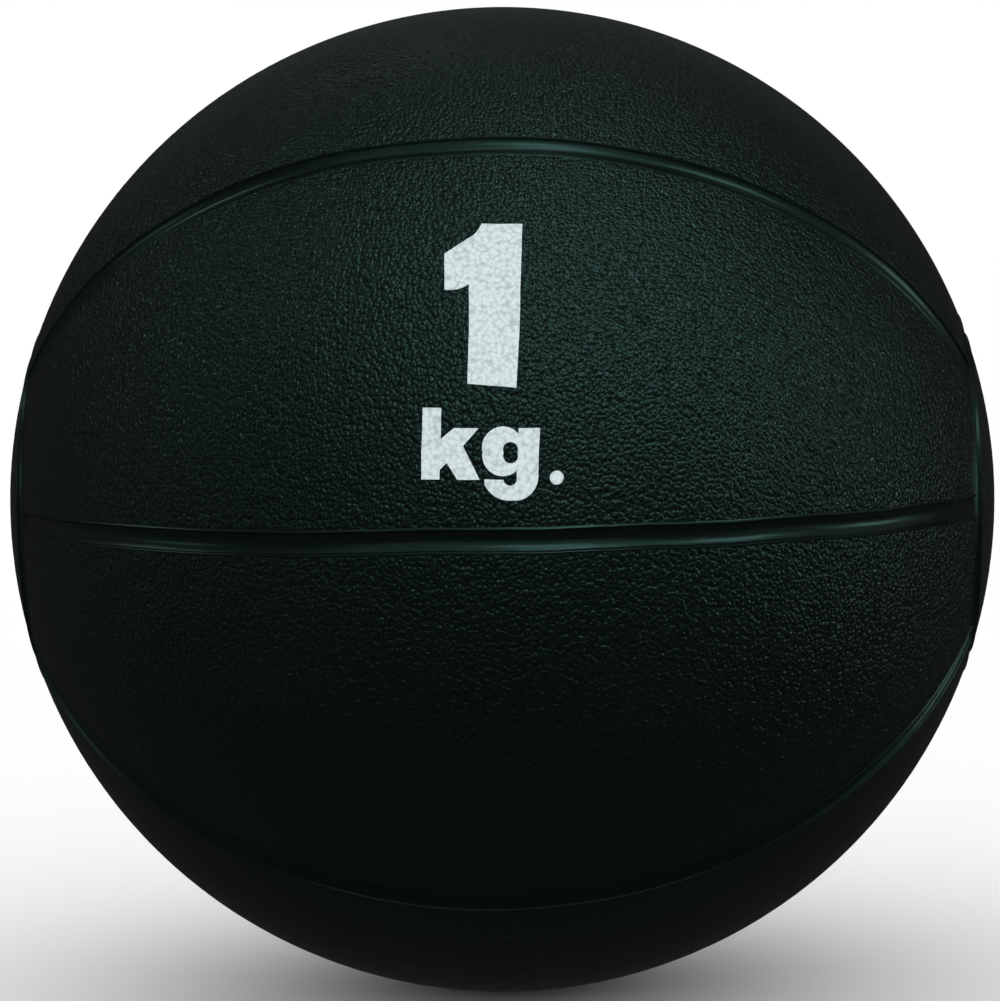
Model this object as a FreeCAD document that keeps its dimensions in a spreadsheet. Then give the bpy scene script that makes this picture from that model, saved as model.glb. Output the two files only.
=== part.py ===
"""A 1 kg moulded rubber medicine ball, in millimetres, with its centre at the origin.

The two pole caps lie on the X axis. Eight gore panels run from one cap to the other, and sunk
channels part them: eight seam strips along the meridians and a ring strip round each cap.
+Z is up and the weight marking is on the -Y side. Under the cover are the carcass, the thread
winding, the bladder and the valve, which comes out at the middle of the left cap.
"""
import FreeCAD, Part
import math
import os

import Sketcher
from FreeCAD import Placement, Rotation, Vector

DRIVING_SIZES = {
    # the shell, from the outside in
    "ball_radius": 95.0,
    "cover_thickness": 2.2,
    "carcass_thickness": 4.5,
    "winding_thickness": 0.6,
    "bladder_thickness": 1.2,
    # the channels between the panels
    "channel_width": 4.1,
    "channel_depth": 1.05,
    "lip_depth": 0.25,
    "cap_angle": 20.2,
    "gore_count": 8,
    # the valve
    "seat_radius": 5.5,
    "seat_recess": 0.4,
    "flange_thickness": 1.6,
    "flange_angle": 10.0,
    "plug_radius": 3.2,
    "plug_recess": 0.7,
    "plug_shank_length": 9.6,
    "bulb_radius": 4.2,
    "bulb_tip_radius": 2.4,
    "bulb_length": 5.0,
    "needle_radius": 1.05,
    "needle_depth": 11.0,
    "funnel_radius": 1.9,
    "funnel_depth": 0.9,
    # the printed weight marking
    "film_thickness": 0.08,
    "marking_step": 1.0,
    "full_stop_radius": 1.17,
}

# Seams and gores in the order they lie in round the X axis, from the top over to the front.
SEAM_NAMES = ("top", "front_top", "front", "front_bottom", "bottom", "rear_bottom", "rear", "rear_top")
GORE_NAMES = (
    "top_front",
    "front_upper",
    "front_lower",
    "bottom_front",
    "bottom_rear",
    "rear_lower",
    "rear_upper",
    "top_rear",
)

# The marking's outlines on a grid of marking_step, x to the right and z up from the ball's centre.
# Two numbers are a corner, and four are a point that an arc passes and the corner where it ends.
NUMERAL_ONE = (
    (-2.7, 26.5),
    (5.6, 25.8),
    (6.85, 53.3),
    (-0.2, 53.5),
    (-1.1, 52.0, -2.35, 51.05),
    (-6.6, 48.4),
    (-6.55, 42.3),
    (-4.2, 42.4, -2.4, 43.2),
)
LETTER_K = (
    (-10.55, 10.45),
    (-7.5, 10.45),
    (-7.4, 12.1),
    (-6.2, 13.2),
    (-4.5, 10.4),
    (-0.7, 10.4),
    (-3.4, 16.1),
    (-0.8, 19.05),
    (-5.0, 19.1),
    (-7.2, 17.2),
    (-7.15, 22.45),
    (-10.3, 22.5),
)
LETTER_G = (
    (9.55, 19.0),
    (9.2, 11.0),
    (8.0, 8.1, 4.6, 6.85),
    (1.5, 7.8, 0.1, 9.6),
    (0.1, 10.45),
    (3.3, 10.35),
    (4.45, 9.35, 5.55, 10.6),
    (5.6, 11.9),
    (2.0, 11.2, -0.1, 15.0),
    (2.1, 19.1, 5.9, 18.1),
    (5.95, 19.05),
)
COUNTER_OF_G = ((3.45, 14.9), (4.6, 16.7, 5.75, 14.9), (4.6, 13.1, 3.45, 14.9))
FULL_STOP_CENTRE = (12.3, 10.6)

# How far the cutting shapes reach from the ball's centre, as a share of its radius.
CLEAR_OF_BALL = 1.1


class Size:
    """A number and the spreadsheet expression that gives it, kept together through arithmetic."""

    def __init__(self, value, text):
        self.value = value
        self.text = text

    @staticmethod
    def of(item):
        return item if isinstance(item, Size) else Size(float(item), repr(float(item)))

    def __add__(self, other):
        other = Size.of(other)
        return Size(self.value + other.value, f"({self.text} + {other.text})")

    def __sub__(self, other):
        other = Size.of(other)
        return Size(self.value - other.value, f"({self.text} - {other.text})")

    def __mul__(self, other):
        other = Size.of(other)
        return Size(self.value * other.value, f"({self.text} * {other.text})")

    def __truediv__(self, other):
        other = Size.of(other)
        return Size(self.value / other.value, f"({self.text} / {other.text})")

    def sine(self):
        return Size(math.sin(math.radians(self.value)), f"sin({self.text} * 1 deg)")

    def cosine(self):
        return Size(math.cos(math.radians(self.value)), f"cos({self.text} * 1 deg)")


def make_sheet(document):
    """Write the driving dimensions to a spreadsheet and return each one as a Size by its alias."""
    sheet = document.addObject("Spreadsheet::Sheet", "Sizes")
    sizes = {}
    for row, (alias, value) in enumerate(DRIVING_SIZES.items(), start=1):
        sheet.set(f"A{row}", alias)
        sheet.set(f"B{row}", str(value))
        sheet.setAlias(f"B{row}", alias)
        sizes[alias] = Size(float(value), f"Sizes.{alias}")
    document.recompute()
    return sizes


def bind(item, **sizes):
    """Tie each named property of an object to the sheet."""
    for name, size in sizes.items():
        item.setExpression(name, Size.of(size).text)


def upright_sketch(name):
    """A sketch in the XZ plane, its own x along +X and its own y along +Z."""
    sketch = doc.addObject("Sketcher::SketchObject", name)
    sketch.Placement = Placement(Vector(0, 0, 0), Rotation(Vector(1, 0, 0), 90))
    return sketch


def fix_length(sketch, kind, where, size, name):
    """Add a dimension to a sketch and tie it to the sheet."""
    sketch.addConstraint(Sketcher.Constraint(kind, *where, size.value))
    sketch.renameConstraint(len(sketch.Constraints) - 1, name)
    sketch.setExpression(f"Constraints.{name}", size.text)


def polar(radius, angle):
    return Vector(radius.value * math.cos(angle), radius.value * math.sin(angle), 0)


def shell_profile(name, inner, outer, first, last, bore=None):
    """The half section, beside the X axis, of a shell between two spheres round the origin.

    first and last are angles from +X. With a bore, the section runs on to the -X axis and ends at
    the wall of a hole of that radius along it, in place of last.
    """
    sketch = upright_sketch(name)
    ends = []
    for radius in (inner, outer):
        start = math.radians(first.value)
        stop = math.pi - math.asin(bore.value / radius.value) if bore else math.radians(last.value)
        circle = Part.Circle(Vector(0, 0, 0), Vector(0, 0, 1), radius.value)
        arc = sketch.addGeometry(Part.ArcOfCircle(circle, start, stop))
        sketch.addConstraint(Sketcher.Constraint("Coincident", arc, 3, -1, 1))
        fix_length(sketch, "Radius", (arc,), radius, f"radius_{arc}")
        ends.append((polar(radius, start), polar(radius, stop)))
    for side, size in enumerate((first, bore if bore else last)):
        edge = sketch.addGeometry(Part.LineSegment(ends[0][side], ends[1][side]))
        for arc in (0, 1):
            sketch.addConstraint(Sketcher.Constraint("Coincident", edge, arc + 1, arc, side + 1))
        if bore and side == 1:
            sketch.addConstraint(Sketcher.Constraint("Horizontal", edge))
            fix_length(sketch, "DistanceY", (-1, 1, edge, 1), size, "bore")
        elif size.value in (0.0, 180.0):
            sketch.addConstraint(Sketcher.Constraint("PointOnObject", edge, 1, -1))
            sketch.addConstraint(Sketcher.Constraint("PointOnObject", edge, 2, -1))
        else:
            sketch.addConstraint(Sketcher.Constraint("PointOnObject", -1, 1, edge))
            angle = Size(math.radians(size.value), f"{size.text} * 1 deg")
            fix_length(sketch, "Angle", (edge,), angle, f"angle_{side}")
    return sketch


def turned(profile, name, angle, turn):
    """A part turn of a profile about the X axis, set round that axis by turn degrees."""
    solid = doc.addObject("Part::Revolution", name)
    solid.Source = profile
    solid.Axis = Vector(1, 0, 0)
    solid.Solid = True
    solid.Placement = Placement(Vector(0, 0, 0), Rotation(Vector(1, 0, 0), turn))
    bind(solid, Angle=angle)
    return solid


def whole_shell(label, *section):
    """A shell profile turned the whole way round the X axis."""
    return turned(shell_profile(f"{label}_profile", *section), label, FULL_TURN, 0)


def end_at(sketch, edge, point):
    """Which end of an edge lies at a point. An arc's two ends can come either way round."""
    return min((1, 2), key=lambda end: (sketch.getPoint(edge, end) - point).Length)


def draw_loop(sketch, unit, path):
    """Draw one closed outline, with each corner tied to its place on the unit's grid."""
    closed = tuple(path[-1][-2:]) == tuple(path[0])
    steps = list(path[1:]) if closed else list(path[1:]) + [path[0]]
    grid = [path[0]] + [step[-2:] for step in steps]
    points = [Vector(x, y, 0) * unit.value for x, y in grid]
    edges = []
    for start, step, stop in zip(points, steps, points[1:]):
        if len(step) == 4:
            middle = Vector(step[0], step[1], 0) * unit.value
            edge = sketch.addGeometry(Part.Arc(start, middle, stop))
            bend = round(sketch.Geometry[edge].Radius / unit.value, 6)
            fix_length(sketch, "Radius", (edge,), unit * bend, f"bend_{edge}")
        else:
            edge = sketch.addGeometry(Part.LineSegment(start, stop))
        edges.append(edge)
    for edge, following, point, (x, y) in zip(edges, edges[1:] + edges[:1], points[1:], grid[1:]):
        end = end_at(sketch, edge, point)
        meets = end_at(sketch, following, point)
        sketch.addConstraint(Sketcher.Constraint("Coincident", edge, end, following, meets))
        fix_length(sketch, "DistanceX", (-1, 1, edge, end), unit * x, f"x_{edge}")
        fix_length(sketch, "DistanceY", (-1, 1, edge, end), unit * y, f"y_{edge}")


def prism(name, unit, loops):
    """A prism along -Y from the XZ plane, clear through the front of the ball."""
    sketch = upright_sketch(f"{name}_outline")
    for path in loops:
        draw_loop(sketch, unit, path)
    solid = doc.addObject("Part::Extrusion", f"{name}_prism")
    solid.Base = sketch
    solid.DirMode = "Custom"
    solid.Dir = Vector(0, -1, 0)
    solid.Solid = True
    bind(solid, LengthFwd=size["ball_radius"] * CLEAR_OF_BALL)
    return solid


def boolean(kind, label, base, tool):
    result = doc.addObject(f"Part::{kind}", label)
    result.Base = base
    result.Tool = tool
    return result


def fuse(label, solids):
    result = doc.addObject("Part::MultiFuse", label)
    result.Shapes = solids
    return result


def round_bar(kind, name, start, **sizes):
    """A cylinder, cone or torus round the X axis, placed at start and running towards +X."""
    solid = doc.addObject(f"Part::{kind}", name)
    solid.Placement = Placement(Vector(start.value, 0, 0), Rotation(Vector(0, 1, 0), 90))
    bind(solid, **sizes)
    solid.setExpression("Placement.Base.x", start.text)
    return solid


def groove_ring(name, centre_distance, groove_radius, turn):
    """The round-bottomed groove of one seam plane, a torus round the ball."""
    torus = doc.addObject("Part::Torus", name)
    torus.Placement = Placement(Vector(0, 0, 0), Rotation(Vector(1, 0, 0), turn + 90))
    bind(torus, Radius1=centre_distance, Radius2=groove_radius)
    return torus


def seam_slab(name, turn):
    """A slab one channel wide through the ball's centre, which holds the X axis."""
    slab = doc.addObject("Part::Box", name)
    reach = size["ball_radius"] * CLEAR_OF_BALL
    corner = Vector(-reach.value, -size["channel_width"].value / 2, -reach.value)
    rotation = Rotation(Vector(1, 0, 0), turn)
    slab.Placement = Placement(rotation.multVec(corner), rotation)
    bind(slab, Length=reach * 2, Width=size["channel_width"], Height=reach * 2)
    return slab


def make_cover():
    """The gore panels, pole caps and the strips that floor the channels between them."""
    radius = size["ball_radius"]
    inner = radius - size["cover_thickness"]
    half_width = size["channel_width"] / 2
    half_angle = half_width / radius * math.degrees(1)
    cap_edge = size["cap_angle"] - half_angle
    gore_edge = size["cap_angle"] + half_angle
    groove_rise = size["channel_depth"] - size["lip_depth"]
    groove_radius = (half_width * half_width + groove_rise * groove_rise) / (groove_rise * 2)
    groove_centre = radius - size["channel_depth"] + groove_radius
    step = FULL_TURN / size["gore_count"]

    belt = shell_profile("belt_profile", inner, radius, gore_edge, HALF_TURN - gore_edge)
    planes = range(int(size["gore_count"].value) // 2)
    slabs = [seam_slab(f"seam_slab_{plane}", plane * step.value) for plane in planes]
    grooves = [
        groove_ring(f"seam_groove_{plane}", groove_centre, groove_radius, plane * step.value)
        for plane in planes
    ]
    all_slabs = fuse("seam_slabs", slabs)
    parts = []
    for index, name in enumerate(GORE_NAMES):
        wedge = turned(belt, f"gore_wedge_{name}", step, index * step.value)
        parts.append(boolean("Cut", f"gore_panel_{name}", wedge, all_slabs))
    for index, name in enumerate(SEAM_NAMES):
        wedge = turned(belt, f"seam_wedge_{name}", step, (index - 0.5) * step.value)
        plane = index % len(slabs)
        bar = boolean("Common", f"seam_bar_{name}", wedge, slabs[plane])
        parts.append(boolean("Cut", f"seam_strip_{name}", bar, grooves[plane]))

    parts.append(whole_shell("pole_cap_right", inner, radius, START, cap_edge))
    valve_hole = size["seat_radius"]
    parts.append(whole_shell("pole_cap_left", inner, radius, HALF_TURN - cap_edge, HALF_TURN, valve_hole))
    sides = (
        ("right", 1, cap_edge, gore_edge),
        ("left", -1, HALF_TURN - gore_edge, HALF_TURN - cap_edge),
    )
    for name, direction, first, last in sides:
        bar = whole_shell(f"ring_bar_{name}", inner, radius, first, last)
        centre = groove_centre * size["cap_angle"].cosine() * direction
        reach = groove_centre * size["cap_angle"].sine()
        groove = round_bar("Torus", f"ring_groove_{name}", centre, Radius1=reach, Radius2=groove_radius)
        parts.append(boolean("Cut", f"ring_strip_{name}", bar, groove))
    return parts


def make_core():
    """The layers under the cover: two carcass halves, the thread winding and the bladder."""
    carcass = size["ball_radius"] - size["cover_thickness"]
    winding = carcass - size["carcass_thickness"]
    bladder = winding - size["winding_thickness"]
    hollow = bladder - size["bladder_thickness"]
    hole = size["seat_radius"]
    return [
        whole_shell("carcass_half_right", winding, carcass, START, QUARTER_TURN),
        whole_shell("carcass_half_left", winding, carcass, QUARTER_TURN, HALF_TURN, hole),
        whole_shell("thread_winding", bladder, winding, START, HALF_TURN, hole),
        whole_shell("bladder", hollow, bladder, START, HALF_TURN, hole),
    ]


def make_valve():
    """The flanged rubber seat on the bladder, and the self-sealing plug inside it."""
    radius = size["ball_radius"]
    layers = size["cover_thickness"] + size["carcass_thickness"] + size["winding_thickness"]
    hollow = radius - layers - size["bladder_thickness"]
    flange_inside = hollow - size["flange_thickness"]
    mouth = size["seat_recess"] - radius
    flange_edge = HALF_TURN - size["flange_angle"]
    plug_radius = size["plug_radius"]
    flange = whole_shell("seat_flange", flange_inside, hollow, flange_edge, HALF_TURN, plug_radius)
    tube_end = hollow - size["flange_thickness"] / 2
    length = radius - size["seat_recess"] - tube_end
    outside = round_bar("Cylinder", "seat_tube_outside", mouth, Radius=size["seat_radius"], Height=length)
    inside = round_bar("Cylinder", "seat_tube_inside", mouth, Radius=plug_radius, Height=length)
    tube = boolean("Cut", "seat_tube", outside, inside)
    seat = fuse("valve_seat", [flange, tube])

    face = size["plug_recess"] - radius
    needle = size["needle_radius"]
    shank_length = size["plug_shank_length"]
    tip = size["bulb_tip_radius"]
    bulb = {"Radius1": size["bulb_radius"], "Radius2": tip, "Height": size["bulb_length"]}
    funnel = {"Radius1": size["funnel_radius"], "Radius2": needle, "Height": size["funnel_depth"]}
    solid_plug = fuse(
        "solid_plug",
        [
            round_bar("Cylinder", "plug_shank", face, Radius=plug_radius, Height=shank_length),
            round_bar("Cone", "plug_bulb", face + shank_length, **bulb),
        ],
    )
    needle_way = fuse(
        "needle_way",
        [
            round_bar("Cylinder", "needle_bore", face, Radius=needle, Height=size["needle_depth"]),
            round_bar("Cone", "needle_funnel", face, **funnel),
        ],
    )
    return [seat, boolean("Cut", "valve_plug", solid_plug, needle_way)]


def make_marking():
    """The weight marking, thin films that lie on the cover."""
    radius = size["ball_radius"]
    step = size["marking_step"]
    film = whole_shell("film_shell", radius, radius + size["film_thickness"], START, HALF_TURN)
    letters = {
        "numeral_one": [NUMERAL_ONE],
        "letter_k": [LETTER_K],
        "letter_g": [LETTER_G, COUNTER_OF_G],
    }
    parts = []
    for name, loops in letters.items():
        parts.append(boolean("Common", f"marking_{name}", film, prism(name, step, loops)))
    dot = doc.addObject("Part::Cylinder", "full_stop_rod")
    x, z = FULL_STOP_CENTRE
    dot.Placement = Placement(Vector(x, 0, z) * step.value, Rotation(Vector(1, 0, 0), 90))
    bind(dot, Radius=step * size["full_stop_radius"], Height=radius * CLEAR_OF_BALL)
    parts.append(boolean("Common", "marking_full_stop", film, dot))
    return parts


def check(parts):
    """Stop if any object of the document failed or any piece isn't one valid solid."""
    for item in doc.Objects:
        if {"Invalid", "Error"} & set(item.State):
            raise RuntimeError(f"{item.Label} failed: {item.State}")
    for part in parts:
        shape = part.Shape
        if shape.isNull() or not shape.isValid() or len(shape.Solids) != 1:
            raise RuntimeError(f"{part.Label} isn't one valid solid")


START = Size.of(0)
QUARTER_TURN = Size.of(90)
HALF_TURN = Size.of(180)
FULL_TURN = Size.of(360)

doc = FreeCAD.newDocument("medicine_ball")
size = make_sheet(doc)
pieces = make_cover() + make_core() + make_valve() + make_marking()
doc.recompute()
check(pieces)

os.makedirs("parts", exist_ok=True)
for piece in pieces:
    piece.Shape.exportStep(f"parts/{piece.Label}.step")
    print(f"{piece.Label}: {piece.Shape.Volume / 1000:.3f} cm3")
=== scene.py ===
"""A 1 kg moulded rubber medicine ball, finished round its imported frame.

The ball's centre is the origin. Its two pole caps lie on the X axis, +Z is up, and the weight
marking faces -Y. Lengths are metres, and sizes given in millimetres are multiplied by MM.
"""
import logging
import math
from dataclasses import dataclass, field
from enum import Enum

import bmesh
import bpy
import numpy as np
from mathutils import Matrix, Vector


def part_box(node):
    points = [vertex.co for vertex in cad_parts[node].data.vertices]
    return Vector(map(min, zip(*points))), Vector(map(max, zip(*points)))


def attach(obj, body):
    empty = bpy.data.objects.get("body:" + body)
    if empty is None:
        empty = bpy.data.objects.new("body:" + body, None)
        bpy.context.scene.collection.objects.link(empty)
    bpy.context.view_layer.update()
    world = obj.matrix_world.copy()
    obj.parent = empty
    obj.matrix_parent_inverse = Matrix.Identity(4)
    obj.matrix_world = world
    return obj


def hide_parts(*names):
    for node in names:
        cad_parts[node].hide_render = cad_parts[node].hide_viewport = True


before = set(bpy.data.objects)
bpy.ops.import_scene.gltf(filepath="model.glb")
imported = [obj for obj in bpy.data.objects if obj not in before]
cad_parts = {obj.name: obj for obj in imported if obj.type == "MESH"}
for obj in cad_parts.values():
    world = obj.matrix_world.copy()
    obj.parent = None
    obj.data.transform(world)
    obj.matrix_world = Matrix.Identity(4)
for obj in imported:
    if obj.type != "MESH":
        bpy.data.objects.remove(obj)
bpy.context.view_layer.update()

MM = 0.001
BODY = "root"
# A spatial hash and the linear congruential generator that it seeds.
HASH_PRIMES = (73856093, 19349663, 83492791)
HASH_MASK = 0x7FFFFFFF
HASH_FACTOR = 1103515245
HASH_STEP = 12345
log = logging.getLogger("medicine_ball")


# ---------------------------------------------------------------------------
# Places on the ball
# ---------------------------------------------------------------------------


def polar_place(theta: np.ndarray, phi: np.ndarray, radius: np.ndarray) -> np.ndarray:
    """Turn ball coordinates into points.

    Args:
        theta: Angle from the +X pole, in radians.
        phi: Angle about the X axis from +Z towards -Y, in radians.
        radius: Distance from the ball's centre.

    Returns:
        An array of points, one row each.
    """
    ring = radius * np.sin(theta)
    return np.column_stack((radius * np.cos(theta), -ring * np.sin(phi), ring * np.cos(phi)))


def eased(share: np.ndarray) -> np.ndarray:
    """Turn a straight rise from 0 to 1 into one that starts and ends level."""
    share = np.clip(share, 0, 1)
    return share * share * (3 - 2 * share)


@dataclass(frozen=True)
class BallForm:
    """The ball's own geometry: its radius, its pole caps and the network of sunk channels.

    Attributes:
        radius: The ball's radius.
        cover_thickness: From the ball's surface to the underside of the panels.
        cap_angle: From a pole to the middle of its ring channel.
        groove_depth: From the ball's surface to the bottom of a channel.
        seat_radius: The radius of the valve's hole in the left cap.
        seam_count: Seams round the X axis.
        below_strip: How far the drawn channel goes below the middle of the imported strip.
        groove_half_width: From a channel's middle to where it meets the ball's surface.
        bead_centre: From a channel's middle to the top of the bead along its lip.
        bead_half_width: Half of the bead's width.
        bead_height: How far the bead stands over the ball's surface.
        border: From a channel's middle to where the panel begins.
        corner_blend: How near two channels are when their corner starts to round off.
        hole_rounding: The radius of the rounded edge of the valve's hole.
    """

    radius: float
    cover_thickness: float
    cap_angle: float
    groove_depth: float
    seat_radius: float
    seam_count: int = 8
    below_strip: float = 0.65 * MM
    groove_half_width: float = 1.95 * MM
    bead_centre: float = 1.98 * MM
    bead_half_width: float = 0.36 * MM
    bead_height: float = 0.21 * MM
    border: float = 2.35 * MM
    corner_blend: float = 0.5 * MM
    hole_rounding: float = 0.5 * MM

    @classmethod
    def from_frame(cls) -> "BallForm":
        """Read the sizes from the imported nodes."""
        cap_low, cap_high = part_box("pole_cap_right")
        seam_low, seam_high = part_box("seam_strip_top")
        hole_low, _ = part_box("pole_cap_left")
        radius = cap_high.x
        cap_edge = math.asin(cap_high.z / radius)
        half_width = (seam_high.y - seam_low.y) / 2
        return cls(
            radius=radius,
            cover_thickness=radius - cap_low.x / math.cos(cap_edge),
            cap_angle=cap_edge + half_width / radius,
            groove_depth=radius - seam_high.z + cls.below_strip,
            seat_radius=math.sqrt(radius**2 - hole_low.x**2),
        )

    @property
    def seam_step(self) -> float:
        """The angle about the X axis from one seam to the next."""
        return 2 * math.pi / self.seam_count

    @property
    def inner_radius(self) -> float:
        """The underside of the cover."""
        return self.radius - self.cover_thickness

    @property
    def panel_start(self) -> float:
        """The angle from a pole to the ends of the gores and the seam strips."""
        return self.cap_angle + self.border / self.radius

    def channel_distance(self, theta: np.ndarray, phi: np.ndarray) -> np.ndarray:
        """Distance along the cover to the nearest channel's middle line.

        Args:
            theta: Angle from the +X pole.
            phi: Angle about the X axis from +Z towards -Y.

        Returns:
            The distance, with the corners where channels meet rounded off.
        """
        from_pole = np.minimum(theta, math.pi - theta)
        ring = self.radius * np.abs(from_pole - self.cap_angle)
        turn = (phi + self.seam_step / 2) % self.seam_step - self.seam_step / 2
        seam = np.abs(self.radius * np.sin(theta) * np.sin(turn))
        seam = np.where(from_pole < self.cap_angle, ring + self.radius, seam)
        overlap = np.maximum(self.corner_blend - np.abs(ring - seam), 0) / self.corner_blend
        blend = overlap**2 * self.corner_blend / 4
        return np.maximum(np.minimum(ring, seam) - blend, 0)

    def channel_height(self, distance: np.ndarray) -> np.ndarray:
        """Height of the channel's section over the ball's radius: a round groove between two beads.

        Args:
            distance: Distance from the channel's middle line.

        Returns:
            The height, negative inside the groove.
        """
        share = np.clip(distance / self.groove_half_width, 0, 1)
        groove = -self.groove_depth * (1 - share**2)
        across = np.clip((distance - self.bead_centre) / self.bead_half_width, -1, 1)
        return groove + self.bead_height * np.cos(across * math.pi / 2) ** 2

    def hole_drop(self, from_left_pole: np.ndarray) -> np.ndarray:
        """How far the cover falls away into the valve's hole, over its rounded edge.

        Args:
            from_left_pole: Angle from the -X pole.

        Returns:
            The drop below the ball's surface.
        """
        beyond = self.radius * np.sin(np.minimum(from_left_pole, 1.0)) - self.seat_radius
        inside = np.clip(self.hole_rounding - beyond, 0, self.hole_rounding)
        return self.hole_rounding - np.sqrt(self.hole_rounding**2 - inside**2)


@dataclass(frozen=True)
class HandLaid:
    """The small wander that hand-laid strips and panels keep after moulding.

    The slow part is a lean: towards the left cap, the three front seams lie up to 1.5 mm off their
    planes.

    Attributes:
        leans: For each leaning seam, its angle about the X axis and how far it moves round that axis.
        lean_length: Distance from the ball's middle at which a lean is whole.
        waves: For each wave, its reach, its length and its phase.
        slant: How far the waves run askew to the axes.
    """

    leans: tuple[tuple[float, float], ...] = (
        (math.radians(45), -1.5 * MM),
        (math.radians(90), 0.8 * MM),
        (math.radians(135), -0.5 * MM),
    )
    lean_length: float = 60 * MM
    waves: tuple[tuple[float, float, float], ...] = (
        (0.1 * MM, 37 * MM, 0.4),
        (0.03 * MM, 13 * MM, 2.1),
        (0.012 * MM, 5 * MM, 4.0),
    )
    slant: float = 0.6

    def shift(self, points: np.ndarray) -> np.ndarray:
        """Slide points along the ball by a smooth field that all the pieces share.

        Args:
            points: Points on or near the ball.

        Returns:
            The moved points, at their old distances from the centre.
        """
        radius = np.linalg.norm(points, axis=1, keepdims=True)
        along, y, z = points.T
        turn = np.zeros(len(points))
        for angle, reach in self.leans:
            off = np.clip(np.abs(np.arctan2(-y, z) - angle), 0, math.pi / 4)
            turn += reach / FORM.radius * np.cos(2 * off) ** 2
        turn *= eased(-along / self.lean_length)
        moved = np.column_stack(
            (along, y * np.cos(turn) - z * np.sin(turn), z * np.cos(turn) + y * np.sin(turn))
        )
        for reach, length, phase in self.waves:
            turned = points[:, (1, 2, 0)] + self.slant * points[:, (2, 0, 1)]
            moved += reach * np.sin(2 * math.pi * turned / length + phase)
        return moved * radius / np.linalg.norm(moved, axis=1, keepdims=True)


@dataclass(frozen=True)
class PebbleGrain:
    """The pebbled grain that the mould gives the panels.

    Attributes:
        pitch: From one pebble to the next.
        height: Of the tallest pebble, over the grooves.
        lowest: The shortest pebble's height, as a share of the tallest's.
        sway: How far the pebbles are pushed out of their even scatter, in pitches.
        sway_length: The length of that push's waves, over 2 pi.
        curl: How strongly a second wave bends the first.
        curl_length: The length of the second wave, over 2 pi.
        fade_length: How far the grain takes to rise beside a smooth edge.
        hole_margin: The smooth width round the valve's hole.
    """

    pitch: float = 1.15 * MM
    height: float = 0.07 * MM
    lowest: float = 0.6
    sway: float = 0.16
    sway_length: float = 0.9 * MM
    curl: float = 1.7
    curl_length: float = 1.3 * MM
    fade_length: float = 0.4 * MM
    hole_margin: float = 1.2 * MM

    @staticmethod
    def scatter(cells: np.ndarray) -> np.ndarray:
        """Three even pseudo-random numbers for each whole-numbered cell, from 0 to 1."""
        mixed = cells.astype(np.int64) * np.array(HASH_PRIMES)
        key = (mixed[:, 0] ^ mixed[:, 1] ^ mixed[:, 2]) & HASH_MASK
        numbers = []
        for _ in range(3):
            key = (key * HASH_FACTOR + HASH_STEP) & HASH_MASK
            numbers.append(((key >> 8) & 0xFFFF) / 0xFFFF)
        return np.column_stack(numbers)

    def relief(self, points: np.ndarray) -> np.ndarray:
        """Height of the grain, round domes parted by grooves.

        Args:
            points: Points on the ball.

        Returns:
            The height over the grooves.
        """
        curl = self.curl * np.sin(points[:, (2, 0, 1)] / self.curl_length)
        sway = np.sin(points[:, (1, 2, 0)] / self.sway_length + curl)
        place = points / self.pitch + self.sway * sway
        home = np.floor(place)
        nearest = np.full(len(points), np.inf)
        tallness = np.zeros(len(points))
        for step in np.ndindex(3, 3, 3):
            cell = home + np.array(step) - 1
            random = self.scatter(cell)
            distance = np.linalg.norm(cell + random - place, axis=1)
            closer = distance < nearest
            tallness = np.where(closer, random[:, 1], tallness)
            nearest = np.where(closer, distance, nearest)
        tall = self.lowest + (1 - self.lowest) * tallness
        return self.height * tall * np.clip(1 - nearest**2, 0, 1)

    def fade(self, distance: np.ndarray) -> np.ndarray:
        """How far the grain has risen at a distance from a smooth edge, from 0 to 1."""
        return eased(distance / self.fade_length)


FORM = BallForm.from_frame()
WANDER = HandLaid()
GRAIN = PebbleGrain()


# ---------------------------------------------------------------------------
# Mesh helpers
# ---------------------------------------------------------------------------


def link(name: str, data: bpy.types.ID) -> bpy.types.Object:
    """Put data into the scene as an object."""
    thing = bpy.data.objects.new(name, data)
    bpy.context.scene.collection.objects.link(thing)
    return thing


def write_piece(shape: bmesh.types.BMesh, mesh: bpy.types.Mesh, sharp: float) -> bpy.types.Object:
    """Shade a finished shape and link it as a piece that rides on the ball.

    Args:
        shape: The shape, which is freed.
        mesh: The mesh that it goes into.
        sharp: The angle beyond which an edge is shaded sharp.

    Returns:
        The piece.
    """
    for face in shape.faces:
        face.smooth = True
    shape.to_mesh(mesh)
    shape.free()
    mesh.set_sharp_from_angle(angle=sharp)
    piece = link(mesh.name, mesh)
    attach(piece, BODY)
    return piece


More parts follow.
